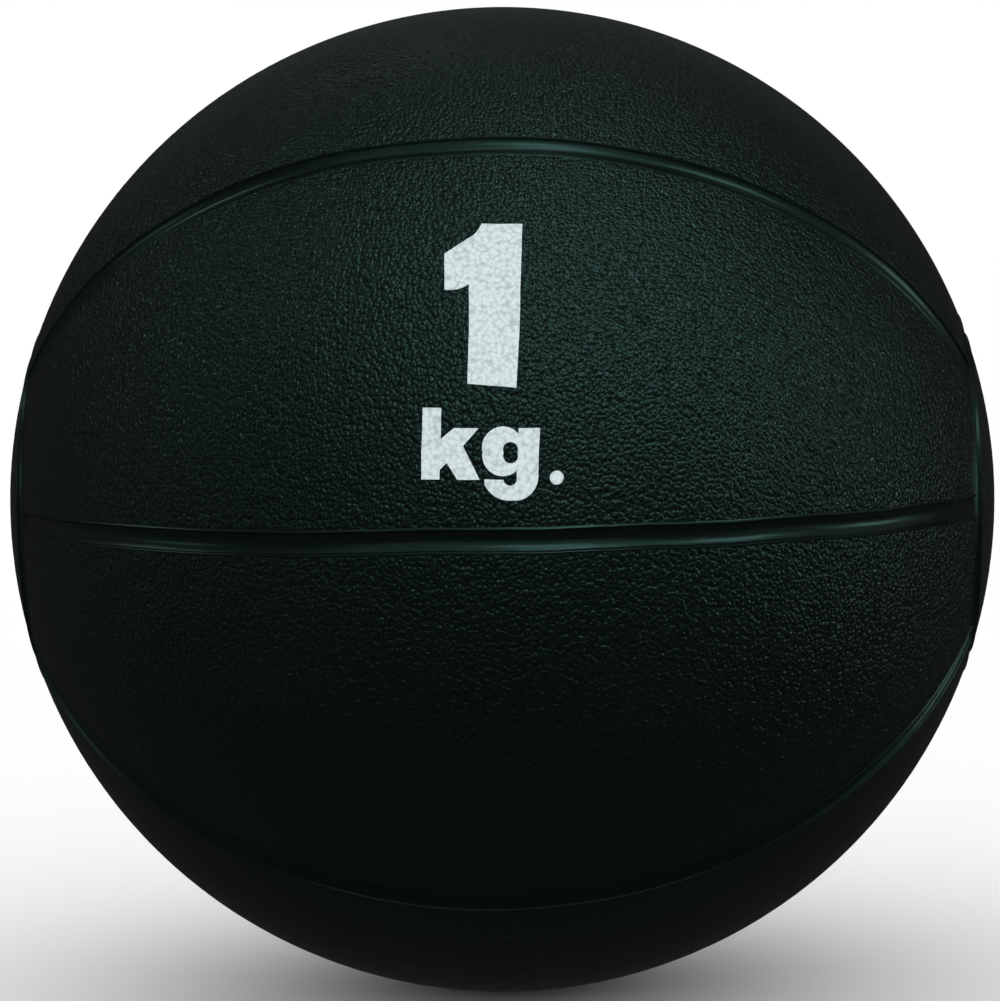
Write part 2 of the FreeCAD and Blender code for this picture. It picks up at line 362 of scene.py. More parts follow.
@dataclass
class WrappedSlab:
    """A closed slab that follows the ball: a fine outside, plain walls and a coarse underside.

    Attributes:
        name: The piece's name.
        across: Cells over the outside, from one long edge to the other.
        along: Cells along it.
        under: Cells over the underside.
        weld: How near corners are when they become one.
        sharp: The angle beyond which an edge is shaded sharp.
        mesh: The piece's mesh, a flat grid until it is closed.
        side: Each corner's place from one long edge to the other, from 0 to 1.
        length: Each corner's place along the slab, from 0 to 1.
        outside: True for each corner on the outside.
    """

    name: str
    across: int
    along: int
    under: int
    weld: float = 0.002 * MM
    sharp: float = math.radians(62)
    mesh: bpy.types.Mesh = field(init=False)
    side: np.ndarray = field(init=False)
    length: np.ndarray = field(init=False)
    outside: np.ndarray = field(init=False)

    def __post_init__(self) -> None:
        """Make the flat grid and note where each of its corners belongs."""
        sheet = bmesh.new()
        loop = self.across + self.under + 2
        bmesh.ops.create_grid(sheet, x_segments=loop, y_segments=self.along, size=1)
        self.mesh = bpy.data.meshes.new(self.name)
        sheet.to_mesh(self.mesh)
        sheet.free()
        flat = np.empty(len(self.mesh.vertices) * 3)
        self.mesh.vertices.foreach_get("co", flat)
        flat = flat.reshape(-1, 3)
        column = np.rint((flat[:, 0] + 1) / 2 * loop).astype(int) % loop
        self.length = (flat[:, 1] + 1) / 2
        self.outside = column <= self.across
        back = np.maximum(column - self.across - 1, 0) / self.under
        self.side = np.where(self.outside, column / self.across, 1 - back)

    def close(self, points: np.ndarray) -> bpy.types.Object:
        """Place the corners, weld the slab shut and link it.

        Args:
            points: A point for each corner.

        Returns:
            The finished object.
        """
        self.mesh.vertices.foreach_set("co", points.astype(np.float32).ravel())
        slab = bmesh.new()
        slab.from_mesh(self.mesh)
        bmesh.ops.remove_doubles(slab, verts=slab.verts, dist=self.weld)
        bmesh.ops.holes_fill(slab, edges=[e for e in slab.edges if e.is_boundary], sides=0)
        bmesh.ops.delete(slab, geom=[e for e in slab.edges if e.is_wire], context="EDGES")
        bmesh.ops.recalc_face_normals(slab, faces=slab.faces)
        return write_piece(slab, self.mesh, self.sharp)


def surface_points(slab: WrappedSlab, theta: np.ndarray, phi: np.ndarray, pebbled: bool) -> np.ndarray:
    """Lay a slab's corners on the ball, with the channel section and the grain on its outside.

    Args:
        slab: The slab.
        theta: Each corner's angle from the +X pole.
        phi: Each corner's angle about the X axis.
        pebbled: True for a grained panel.

    Returns:
        A point for each corner.
    """
    distance = FORM.channel_distance(theta, phi)
    height = FORM.channel_height(distance)
    if pebbled:
        spots = polar_place(theta[slab.outside], phi[slab.outside], FORM.radius)
        from_hole = FORM.radius * (math.pi - theta[slab.outside]) - FORM.seat_radius - GRAIN.hole_margin
        clear = np.minimum(distance[slab.outside] - FORM.border, from_hole)
        height[slab.outside] += GRAIN.relief(spots) * GRAIN.fade(clear)
        height -= FORM.hole_drop(math.pi - theta)
    radius = np.where(slab.outside, FORM.radius + height, FORM.inner_radius)
    return WANDER.shift(polar_place(theta, phi, radius))


# ---------------------------------------------------------------------------
# Finishes
# ---------------------------------------------------------------------------


def outward(around: float, over: float) -> Vector:
    """The direction at an angle from the front towards the right, and at an angle over the level."""
    return Vector((math.sin(around) * math.cos(over), -math.cos(around) * math.cos(over), math.sin(over)))


def linear(hex_colour: str) -> tuple[float, float, float, float]:
    """Turn an sRGB hex colour into the linear one that shaders take."""
    channels = [int(hex_colour[i : i + 2], 16) / 255 for i in (1, 3, 5)]
    return tuple(c / 12.92 if c <= 0.04045 else ((c + 0.055) / 1.055) ** 2.4 for c in channels) + (1.0,)


def add_node(
    tree: bpy.types.NodeTree, kind: str, settings: dict | None = None, links: dict | None = None
) -> bpy.types.Node:
    """Add a shader node.

    Args:
        tree: The material's node tree.
        kind: The node's type, without its ShaderNode prefix.
        settings: Values by property name, or by input socket name or number.
        links: Output sockets by the input they feed.

    Returns:
        The new node.
    """
    node = tree.nodes.new(f"ShaderNode{kind}")
    for key, value in (settings or {}).items():
        if isinstance(key, str) and hasattr(node, key):
            setattr(node, key, value)
        else:
            node.inputs[key].default_value = value
    for key, socket in (links or {}).items():
        tree.links.new(socket, node.inputs[key])
    return node


def per_metre(size: float) -> float:
    """A texture scale that repeats once in a real size."""
    return 1 / size


# The fine pebbles: the size and reach of the noise that pushes them about, how round the grooves
# between them are, and the squared distance from a pebble's middle, in pitches, where it ends.
SWAY_SIZE = 1.7 * MM
SWAY_REACH = 0.8 * MM
GROOVE_ROUNDING = 0.12
DOME_EDGE = 0.8


@dataclass(frozen=True)
class MouldedRubber:
    """Vulcanised carbon-black rubber as it comes out of a steel mould.

    It is near black with a cool cast and a satin gloss. The gloss wanders a little where release
    agent and handling have left their film, and pebbles are shinier on top, where hands rub them.

    Attributes:
        name: The material's name.
        colour: The rubber's own colour.
        bloom: Its colour where wax has bloomed to the surface.
        gloss_cast: The tint of its gloss.
        roughness: How rough it is, halfway between its extremes.
        roughness_spread: From its glossiest to its dullest.
        cloud: The size of the patches of bloom and gloss.
        pebble: The pitch of the fine pebbles, or 0 for none.
        pebble_depth: Their height.
        worn_top: How much glossier they are on top.
        groove: A darker colour painted in the grooves between them as painted shade, if set.
        grit: The size of the blasting grit that marked the mould.
        grit_depth: The depth of those marks.
        ior: Its index of refraction.
    """

    name: str
    colour: str = "#050908"
    bloom: str = "#080d0c"
    gloss_cast: str = "#c0fff4"
    roughness: float = 0.25
    roughness_spread: float = 0.06
    cloud: float = 26 * MM
    pebble: float = 0.0
    pebble_depth: float = 0.0
    worn_top: float = 0.08
    groove: str | None = None
    grit: float = 0.3 * MM
    grit_depth: float = 0.002 * MM
    ior: float = 1.52

    def material(self) -> bpy.types.Material:
        """Build the node material."""
        made = bpy.data.materials.new(self.name)
        made.use_nodes = True
        tree = made.node_tree
        shader = tree.nodes["Principled BSDF"]
        shader.inputs["IOR"].default_value = self.ior
        shader.inputs["Specular Tint"].default_value = linear(self.gloss_cast)
        place = add_node(tree, "TexCoord").outputs["Object"]
        cloud = add_node(tree, "TexNoise", {"Scale": per_metre(self.cloud), "Detail": 5.0}, {"Vector": place})
        tint = add_node(
            tree,
            "Mix",
            {"data_type": "RGBA", 6: linear(self.colour), 7: linear(self.bloom)},
            {0: cloud.outputs["Fac"]},
        )
        low = self.roughness - self.roughness_spread / 2
        extremes = {3: low, 4: low + self.roughness_spread}
        gloss = add_node(tree, "MapRange", extremes, {"Value": cloud.outputs["Fac"]}).outputs["Result"]
        # Blasting grit is nearer 0.05 mm, and is drawn coarser so that it shows at all.
        grit = add_node(tree, "TexNoise", {"Scale": per_metre(self.grit), "Detail": 2.0}, {"Vector": place})
        bump = add_node(
            tree, "Bump", {"Strength": 1.0, "Distance": self.grit_depth}, {"Height": grit.outputs["Fac"]}
        )
        if self.pebble:
            dome = self.pebble_dome(tree, place)
            # Painted shade: the colour goes over to the darker groove colour in the grooves between the
            # pebbles, where the dome is low.
            if self.groove:
                tint = add_node(
                    tree,
                    "Mix",
                    {"data_type": "RGBA", 6: linear(self.groove)},
                    {0: dome, 7: tint.outputs[2]},
                )
            bump = add_node(
                tree,
                "Bump",
                {"Strength": 1.0, "Distance": self.pebble_depth},
                {"Height": dome, "Normal": bump.outputs["Normal"]},
            )
            polish = add_node(tree, "MapRange", {3: 0.0, 4: -self.worn_top}, {"Value": dome})
            gloss = add_node(
                tree, "Math", {"operation": "ADD"}, {0: gloss, 1: polish.outputs["Result"]}
            ).outputs["Value"]
        tree.links.new(tint.outputs[2], shader.inputs["Base Color"])
        tree.links.new(gloss, shader.inputs["Roughness"])
        tree.links.new(bump.outputs["Normal"], shader.inputs["Normal"])
        return made

    def pebble_dome(self, tree: bpy.types.NodeTree, place: bpy.types.NodeSocket) -> bpy.types.NodeSocket:
        """Add the small pebbles that lie between and on the modelled ones.

        Args:
            tree: The material's node tree.
            place: The socket with the point in the ball's own frame.

        Returns:
            The socket with the pebbles' height, from 0 in the grooves to 1 on top.
        """
        sway = add_node(tree, "TexNoise", {"Scale": per_metre(SWAY_SIZE), "Detail": 1.0}, {"Vector": place})
        lean = add_node(
            tree, "VectorMath", {"operation": "SCALE", "Scale": SWAY_REACH}, {0: sway.outputs["Color"]}
        )
        moved = add_node(
            tree, "VectorMath", {"operation": "ADD"}, {0: place, 1: lean.outputs["Vector"]}
        ).outputs["Vector"]
        cells = add_node(
            tree,
            "TexVoronoi",
            {"feature": "SMOOTH_F1", "Scale": per_metre(self.pebble), "Smoothness": GROOVE_ROUNDING},
            {"Vector": moved},
        )
        round_top = add_node(tree, "Math", {"operation": "POWER", 1: 2.0}, {0: cells.outputs["Distance"]})
        return add_node(
            tree, "MapRange", {1: DOME_EDGE, 2: 0.0, 3: 0.0, 4: 1.0}, {"Value": round_top.outputs["Value"]}
        ).outputs["Result"]


@dataclass(frozen=True)
class WoundThread:
    """Fine nylon thread wound over the bladder in every direction and bound with latex.

    Each layer lies across the last, so the eye sees crossed ridges with amber-grey gaps.

    Attributes:
        name: The material's name.
        thread: The thread's colour.
        gap: The latex's colour, between the threads.
        spacing: From one thread to the next.
        depth: How far the threads stand over the gaps.
        courses: For each layer, how it is turned from the axes.
        roughness: How rough the thread is.
        ior: The index of refraction of nylon.
        sheen: The weight of the thread's fuzz.
    """

    name: str = "wound_nylon_thread"
    thread: str = "#d8d3c4"
    gap: str = "#8f8672"
    spacing: float = 0.6 * MM
    depth: float = 0.12 * MM
    courses: tuple[tuple[float, float, float], ...] = ((0.0, 0.5, 0.2), (1.1, 0.2, 0.9), (2.2, 1.3, 0.4))
    roughness: float = 0.55
    ior: float = 1.53
    sheen: float = 0.2

    def material(self) -> bpy.types.Material:
        """Build the node material."""
        made = bpy.data.materials.new(self.name)
        made.use_nodes = True
        tree = made.node_tree
        shader = tree.nodes["Principled BSDF"]
        shader.inputs["Roughness"].default_value = self.roughness
        shader.inputs["IOR"].default_value = self.ior
        shader.inputs["Sheen Weight"].default_value = self.sheen
        place = add_node(tree, "TexCoord").outputs["Object"]
        ridges = None
        for turn in self.courses:
            course = add_node(tree, "Mapping", {"Rotation": turn}, {"Vector": place})
            # A wave texture of scale 1 repeats every pi / 10.
            wave = add_node(
                tree,
                "TexWave",
                {"Scale": math.pi / (10 * self.spacing), "Distortion": 1.5, "Detail": 1.0},
                {"Vector": course.outputs["Vector"]},
            ).outputs["Fac"]
            if ridges is None:
                ridges = wave
            else:
                upper = add_node(tree, "Math", {"operation": "MAXIMUM"}, {0: ridges, 1: wave})
                ridges = upper.outputs["Value"]
        tint = add_node(
            tree, "Mix", {"data_type": "RGBA", 6: linear(self.gap), 7: linear(self.thread)}, {0: ridges}
        )
        bump = add_node(tree, "Bump", {"Strength": 1.0, "Distance": self.depth}, {"Height": ridges})
        tree.links.new(tint.outputs[2], shader.inputs["Base Color"])
        tree.links.new(bump.outputs["Normal"], shader.inputs["Normal"])
        return made


# The cover: natural and SBR rubber moulded against an etched pebble texture.
PEBBLED = MouldedRubber("moulded_pebbled_rubber", pebble=0.78 * MM, pebble_depth=0.26 * MM)
# The channels: the same rubber against polished steel, so smooth, and never rubbed shiny by hands.
SMOOTH = MouldedRubber("moulded_smooth_rubber", roughness=0.27, grit=1.1 * MM, grit_depth=0.008 * MM)
# The marking: a matt white rubber-based transfer ink that keeps the pebbles' shape. Its colour is painted
# darker in the grooves between the pebbles, as painted shade.
INK = MouldedRubber(
    "white_transfer_ink",
    colour="#d8e7e8",
    bloom="#e0eff0",
    groove="#b5c2c3",
    gloss_cast="#ffffff",
    roughness=0.5,
    pebble=0.78 * MM,
    pebble_depth=0.14 * MM,
    worn_top=0.05,
)
# The carcass: calendered rubber, buffed so that the cover bonds to it, so dull and scratched.
BUFFED = MouldedRubber(
    "buffed_carcass_rubber",
    colour="#1c1d1c",
    bloom="#292b29",
    roughness=0.7,
    grit=0.8 * MM,
    grit_depth=0.05 * MM,
)
# The bladder: butyl rubber, dipped and smooth, with a soft gloss.
BUTYL = MouldedRubber(
    "dipped_butyl_rubber",
    colour="#151617",
    bloom="#1b1d1e",
    roughness=0.32,
    grit=3 * MM,
    grit_depth=0.02 * MM,
)
# The valve seat and plug: soft gum-loaded valve rubber, greyer with talc.
VALVE_SEAT = MouldedRubber("moulded_valve_seat_rubber", colour="#0f1312", bloom="#171c1b", roughness=0.38)
VALVE_PLUG = MouldedRubber("talced_valve_plug_rubber", colour="#1d2120", bloom="#353a38", roughness=0.52)


def dress(piece: bpy.types.Object, material: bpy.types.Material) -> None:
    """Give a piece its material and log its face count."""
    piece.data.materials.clear()
    piece.data.materials.append(material)
    log.info("%s: %d faces", piece.name, len(piece.data.polygons))


# ---------------------------------------------------------------------------
# The cover
# ---------------------------------------------------------------------------


class Gore(Enum):
    """The gore panels, in the order they lie in round the X axis from the top over to the front."""

    TOP_FRONT = 0
    FRONT_UPPER = 1
    FRONT_LOWER = 2
    BOTTOM_FRONT = 3
    BOTTOM_REAR = 4
    REAR_LOWER = 5
    REAR_UPPER = 6
    TOP_REAR = 7


class Seam(Enum):
    """The seams, each the one before the gore of the same number."""

    TOP = 0
    FRONT_TOP = 1
    FRONT = 2
    FRONT_BOTTOM = 3
    BOTTOM = 4
    REAR_BOTTOM = 5
    REAR = 6
    REAR_TOP = 7


class Pole(Enum):
    """The two pole caps, by the sign of X that they lie on."""

    RIGHT = 1
    LEFT = -1

    def theta(self, from_pole: np.ndarray) -> np.ndarray:
        """Turn an angle from this pole into one from the +X pole."""
        return from_pole if self is Pole.RIGHT else math.pi - from_pole


@dataclass
class Cover:
    """The pebbled panels: eight gores and two pole caps.

    Attributes:
        gore_across: Cells over a gore, from seam to seam.
        gore_along: Cells along a gore, from pole to pole.
        cap_across: Cells over a cap, from its middle to its rim.
        cap_around: Cells round a cap.
        under: Cells over the underside.
    """

    gore_across: int = 152
    gore_along: int = 480
    cap_across: int = 74
    cap_around: int = 440
    under: int = 6

    def build(self) -> None:
        """Make and dress every panel."""
        rubber = PEBBLED.material()
        for gore in Gore:
            dress(self.gore(gore), rubber)
        for pole in Pole:
            dress(self.cap(pole), rubber)

    def gore(self, gore: Gore) -> bpy.types.Object:
        """Make one gore, from ring channel to ring channel and from seam to seam."""
        name = f"pebbled_gore_{gore.name.lower()}"
        slab = WrappedSlab(name, self.gore_across, self.gore_along, self.under)
        theta = FORM.panel_start + (math.pi - 2 * FORM.panel_start) * slab.length
        inset = np.arcsin(FORM.border / (FORM.radius * np.sin(theta)))
        start = gore.value * FORM.seam_step
        phi = start + inset + (FORM.seam_step - 2 * inset) * slab.side
        piece = slab.close(surface_points(slab, theta, phi, pebbled=True))
        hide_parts(f"gore_panel_{gore.name.lower()}")
        return piece

    def cap(self, pole: Pole) -> bpy.types.Object:
        """Make one pole cap. The left one has the valve's hole."""
        slab = WrappedSlab(f"pebbled_cap_{pole.name.lower()}", self.cap_across, self.cap_around, self.under)
        hole = math.asin(FORM.seat_radius / FORM.radius) if pole is Pole.LEFT else 0.0
        edge = FORM.cap_angle - FORM.border / FORM.radius
        theta = pole.theta(hole + (edge - hole) * slab.side)
        phi = 2 * math.pi * slab.length
        piece = slab.close(surface_points(slab, theta, phi, pebbled=True))
        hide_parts(f"pole_cap_{pole.name.lower()}")
        return piece


@dataclass
class Channels:
    """The smooth strips that line the channels: eight seams and two rings.

    Attributes:
        across: Cells over a strip.
        seam_along: Cells along a seam strip.
        ring_around: Cells round a ring strip.
        under: Cells over the underside.
        end_crowding: How much closer a seam strip's cells lie at its ends, where corners round off.
        bead_crowding: The power that brings the cells closer together at the beads.
    """

    across: int = 30
    seam_along: int = 420
    ring_around: int = 900
    under: int = 2
    end_crowding: float = 0.6
    bead_crowding: float = 0.7

    def build(self) -> None:
        """Make and dress every strip."""
        rubber = SMOOTH.material()
        for seam in Seam:
            dress(self.seam(seam), rubber)
        for pole in Pole:
            dress(self.ring(pole), rubber)

    def across_channel(self, slab: WrappedSlab) -> np.ndarray:
        """Each corner's distance from the channel's middle line, closer together at the beads."""
        share = slab.side * 2 - 1
        return FORM.border * np.sign(share) * np.abs(share) ** self.bead_crowding

    def seam(self, seam: Seam) -> bpy.types.Object:
        """Make one seam strip, from ring channel to ring channel."""
        slab = WrappedSlab(f"seam_channel_{seam.name.lower()}", self.across, self.seam_along, self.under)
        crowded = slab.length - self.end_crowding * np.sin(2 * math.pi * slab.length) / (2 * math.pi)
        theta = FORM.panel_start + (math.pi - 2 * FORM.panel_start) * crowded
        offset = np.arcsin(self.across_channel(slab) / (FORM.radius * np.sin(theta)))
        phi = seam.value * FORM.seam_step + offset
        piece = slab.close(surface_points(slab, theta, phi, pebbled=False))
        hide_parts(f"seam_strip_{seam.name.lower()}")
        return piece

    def ring(self, pole: Pole) -> bpy.types.Object:
        """Make the strip round one pole cap."""
        slab = WrappedSlab(f"ring_channel_{pole.name.lower()}", self.across, self.ring_around, self.under)
        theta = pole.theta(FORM.cap_angle + self.across_channel(slab) / FORM.radius)
        phi = 2 * math.pi * slab.length
        piece = slab.close(surface_points(slab, theta, phi, pebbled=False))
        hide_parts(f"ring_strip_{pole.name.lower()}")
        return piece


# ---------------------------------------------------------------------------
# The weight marking
# ---------------------------------------------------------------------------

# An outline is corners in millimetres, x to the right and z up from the ball's centre. Two numbers
# are a corner, and four are a point that an arc passes and the corner where it ends.
Outline = tuple[tuple[float, ...], ...]


@dataclass(frozen=True)
class Glyph:
    """One printed character: its outline, and the outline of the hole in it if it has one."""

    name: str
    outline: Outline
    counter: Outline = ()


NUMERAL_ONE = Glyph(
    "numeral_one",
    (
        (-2.7, 26.5),
        (5.6, 25.8),
        (6.85, 53.3),
        (-0.2, 53.5),
        (-1.1, 52.0, -2.35, 51.05),
        (-6.6, 48.4),
        (-6.55, 42.3),
        (-4.2, 42.4, -2.4, 43.2),
    ),
)
LETTER_K = Glyph(
    "letter_k",
    (
        (-10.55, 10.45),
        (-7.5, 10.45),
        (-7.4, 12.1),
        (-6.2, 13.2),
        (-4.5, 10.4),
        (-0.7, 10.4),
        (-3.4, 16.1),
        (-0.8, 19.05),
        (-5.0, 19.1),
        (-7.2, 17.2),
        (-7.15, 22.45),
        (-10.3, 22.5),
    ),
)
LETTER_G = Glyph(
    "letter_g",
    (
        (9.55, 19.0),
        (9.2, 11.0),
        (8.0, 8.1, 4.6, 6.85),
        (1.5, 7.8, 0.1, 9.6),
        (0.1, 10.45),
        (3.3, 10.35),
        (4.45, 9.35, 5.55, 10.6),
        (5.6, 11.9),
        (2.0, 11.2, -0.1, 15.0),
        (2.1, 19.1, 5.9, 18.1),
        (5.95, 19.05),
    ),
    ((3.45, 14.9), (4.6, 16.7, 5.75, 14.9), (4.6, 13.1, 3.45, 14.9)),
)
FULL_STOP = Glyph("full_stop", ((11.13, 10.6), (12.3, 11.77, 13.47, 10.6), (12.3, 9.43, 11.13, 10.6)))


@dataclass
class Marking:
    """The white weight marking, thin films of ink that follow the pebbles.

    Attributes:
        film: How far the ink stands over the rubber.
        sunk: How far it reaches into the rubber.
        cell: The size of the cells that a film is cut into, in millimetres.
        first_cut: Where the first cut lies, in millimetres, so that none runs along an edge.
        arc_step: The length of an arc's steps, in millimetres.
        flatness: How near a corner is to a cut when it counts as on it, in millimetres.
        sharp: The angle beyond which an edge is shaded sharp.
    """

    film: float = 0.09 * MM
    sunk: float = 0.03 * MM
    cell: float = 0.24
    first_cut: float = 0.08
    arc_step: float = 0.2
    flatness: float = 0.001
    sharp: float = math.radians(50)

    def build(self) -> None:
        """Print and dress every character."""
        ink = INK.material()
        for glyph in (NUMERAL_ONE, LETTER_K, LETTER_G, FULL_STOP):
            piece = self.character(glyph)
            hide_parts(f"marking_{glyph.name}")
            dress(piece, ink)

    def corners(self, outline: Outline) -> list[Vector]:
        """Walk an outline and give its corners, with each arc in short steps.

        Args:
            outline: The outline.

        Returns:
            The corners, in order and without repeating the first.
        """
        walked = [Vector((outline[0][0], 0, outline[0][1]))]
        for step in outline[1:]:
            start, stop = walked[-1], Vector((step[-2], 0, step[-1]))
            if len(step) == 4:
                walked += self.arc(start, Vector((step[0], 0, step[1])), stop)
            walked.append(stop)
        if (walked[-1] - walked[0]).length < self.arc_step / 2:
            walked.pop()
        return walked

    def arc(self, start: Vector, middle: Vector, stop: Vector) -> list[Vector]:
        """The points between the ends of an arc through three points.

        Args:
            start: The first end.
            middle: A point on the arc.
            stop: The other end.

        Returns:
            The points, without the ends.
        """
        a, b = middle - start, stop - start
        across = a.cross(b)
        chord = a.length_squared * b - b.length_squared * a
        centre = start + chord.cross(across) / (2 * across.length_squared)
        axis = across.normalized()
        first = start - centre
        last = stop - centre
        sweep = math.atan2(axis.dot(first.cross(last)), first.dot(last)) % (2 * math.pi)
        count = max(2, math.ceil(sweep * first.length / self.arc_step))
        return [centre + Matrix.Rotation(sweep * i / count, 3, axis) @ first for i in range(1, count)]

    def character(self, glyph: Glyph) -> bpy.types.Object:
        """Fill a character's outline, cut it into small cells and lay it on the pebbles.

        Args:
            glyph: The character.

        Returns:
            The finished film.
        """
        sheet = bmesh.new()
        for outline in (glyph.outline, glyph.counter):
            if outline:
                ring = [sheet.verts.new(corner) for corner in self.corners(outline)]
                for first, second in zip(ring, ring[1:] + ring[:1]):
                    sheet.edges.new((first, second))
        bmesh.ops.triangle_fill(sheet, use_beauty=True, edges=sheet.edges, normal=(0, -1, 0))
        for axis in (Vector((1, 0, 0)), Vector((0, 0, 1))):
            reach = [vert.co.dot(axis) for vert in sheet.verts]
            for step in range(math.ceil(min(reach) / self.cell), math.ceil(max(reach) / self.cell)):
                bmesh.ops.bisect_plane(
                    sheet,
                    geom=sheet.verts[:] + sheet.edges[:] + sheet.faces[:],
                    dist=self.flatness,
                    plane_co=axis * (step * self.cell + self.first_cut),
                    plane_no=axis,
                )
        grown = bmesh.ops.extrude_face_region(sheet, geom=sheet.faces[:])["geom"]
        top = {item for item in grown if isinstance(item, bmesh.types.BMVert)}
        flat = np.array([vert.co for vert in sheet.verts]) * MM
        raised = np.array([vert in top for vert in sheet.verts])
        flat[:, 1] = -np.sqrt(FORM.radius**2 - flat[:, 0] ** 2 - flat[:, 2] ** 2)
        height = GRAIN.relief(flat) + np.where(raised, self.film, -self.sunk)
        laid = WANDER.shift(flat * (1 + height / FORM.radius)[:, None])
        for vert, place in zip(sheet.verts, laid):
            vert.co = place
        bmesh.ops.recalc_face_normals(sheet, faces=sheet.faces)
        return write_piece(sheet, bpy.data.meshes.new(f"printed_{glyph.name}"), self.sharp)


# ---------------------------------------------------------------------------
# The valve and the layers under the cover
# ---------------------------------------------------------------------------


Section = tuple[tuple[float, float], ...]


@dataclass
class Valve:
    """The valve in the left cap: a flanged seat and the self-sealing plug pressed into it.

    Attributes:
        seat: Half a section, as millimetres from the ball's centre and from the valve's axis.
        plug: The same for the plug.
        turns: Steps in a whole turn.
        weld: How near corners are when they become one.
        corner: The angle beyond which an edge is rounded.
        edge: How far that rounding reaches.
        sharp: The angle beyond which an edge is shaded sharp.
    """

    seat: Section = (
        (84.9, 3.22),
        (94.35, 3.22),
        (94.6, 3.45),
        (94.6, 4.05),
        (94.3, 4.2),
        (94.3, 4.75),
        (94.6, 4.9),
        (94.6, 5.25),
        (94.4, 5.45),
        (86.32, 5.45),
        (85.9, 10.0),
        (85.3, 14.4),
        (84.7, 14.6),
        (84.3, 10.0),
        (84.8, 5.0),
    )
    plug: Section = (
        (83.3, 0.0),
        (83.3, 1.05),
        (93.35, 1.05),
        (93.8, 1.25),
        (94.25, 1.85),
        (94.3, 2.2),
        (94.15, 2.35),
        (94.15, 2.7),
        (94.3, 2.85),
        (94.2, 3.1),
        (94.0, 3.2),
        (84.7, 3.2),
        (84.6, 4.2),
        (79.9, 2.6),
        (79.7, 2.2),
        (79.7, 0.0),
    )
    turns: int = 96
    weld: float = 0.001 * MM
    corner: float = math.radians(35)
    edge: float = 0.07 * MM
    sharp: float = math.radians(60)

    def build(self) -> None:
        """Turn and dress the seat and the plug."""
        seat = self.turned("valve_seat_turned", self.seat, closed=True)
        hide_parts("valve_seat")
        dress(seat, VALVE_SEAT.material())
        plug = self.turned("valve_plug_turned", self.plug, closed=False)
        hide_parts("valve_plug")
        dress(plug, VALVE_PLUG.material())

    def turned(self, name: str, outline: Section, closed: bool) -> bpy.types.Object:
        """Turn a half section about the valve's axis and round its edges.

        Args:
            name: The piece's name.
            outline: The half section.
            closed: True if the section is a ring, and False if it starts and ends on the axis.

        Returns:
            The finished object.
        """
        lathe = bmesh.new()
        path = [lathe.verts.new((-depth * MM, 0, radius * MM)) for depth, radius in outline]
        pairs = list(zip(path, path[1:] + path[:1]))
        for first, second in pairs if closed else pairs[:-1]:
            lathe.edges.new((first, second))
        bmesh.ops.spin(
            lathe,
            geom=lathe.verts[:] + lathe.edges[:],
            cent=(0, 0, 0),
            axis=(1, 0, 0),
            dvec=(0, 0, 0),
            angle=2 * math.pi,
            steps=self.turns,
            use_merge=True,
        )
        bmesh.ops.remove_doubles(lathe, verts=lathe.verts, dist=self.weld)
        bmesh.ops.recalc_face_normals(lathe, faces=lathe.faces)
        corners = [edge for edge in lathe.edges if edge.calc_face_angle(0) > self.corner]
        bmesh.ops.bevel(
            lathe,
            geom=corners,
            offset=self.edge,
            offset_type="OFFSET",
            affect="EDGES",
            segments=2,
            profile=0.5,
            material=-1,
        )
        return write_piece(lathe, bpy.data.meshes.new(name), self.sharp)


@dataclass
class Core:
    """The layers under the cover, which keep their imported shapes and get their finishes."""

    finishes: tuple[tuple[str, MouldedRubber | WoundThread], ...] = (
        ("carcass_half_left", BUFFED),
        ("carcass_half_right", BUFFED),
        ("thread_winding", WoundThread()),
        ("bladder", BUTYL),
    )

    def build(self) -> None:
        """Give each layer its finish."""
        made: dict[str, bpy.types.Material] = {}
        for node, finish in self.finishes:
            if finish.name not in made:
                made[finish.name] = finish.material()
            layer = bpy.data.objects[node]
            for slot in layer.material_slots:
                slot.material = made[finish.name]
            log.info("%s: %s", node, finish.name)


# ---------------------------------------------------------------------------
# The studio
# ---------------------------------------------------------------------------


@dataclass(frozen=True)
class Softbox:
    """A soft rectangular light that faces the ball.

    Attributes:
        name: The light's name.
        azimuth: Degrees from the front, towards the right.
        elevation: Degrees above the ball's middle.
        width: Degrees that it spans from side to side, seen from the ball.
        height: Degrees that it spans from top to bottom.
        radiance: How bright its face is.
        distance: How far away it is.
        daylight: Its colour, that of a cool sky.
    """

    name: str
    azimuth: float
    elevation: float
    width: float
    height: float
    radiance: float
    distance: float = 1.7
    daylight: tuple[float, float, float] = (0.8, 1.0, 0.95)

    def build(self) -> None:
        """Hang the light."""
        away = outward(math.radians(self.azimuth), math.radians(self.elevation))
        data = bpy.data.lights.new(self.name, "AREA")
        data.shape = "RECTANGLE"
        data.size = 2 * self.distance * math.tan(math.radians(self.width / 2))
        data.size_y = 2 * self.distance * math.tan(math.radians(self.height / 2))
        data.color = self.daylight
        data.energy = self.radiance * math.pi * data.size * data.size_y
        light = link(self.name, data)
        light.location = away * self.distance
        light.rotation_mode = "QUATERNION"
        light.rotation_quaternion = (-away).to_track_quat("-Z", "Y")
        light.visible_camera = False
        light.visible_diffuse = False


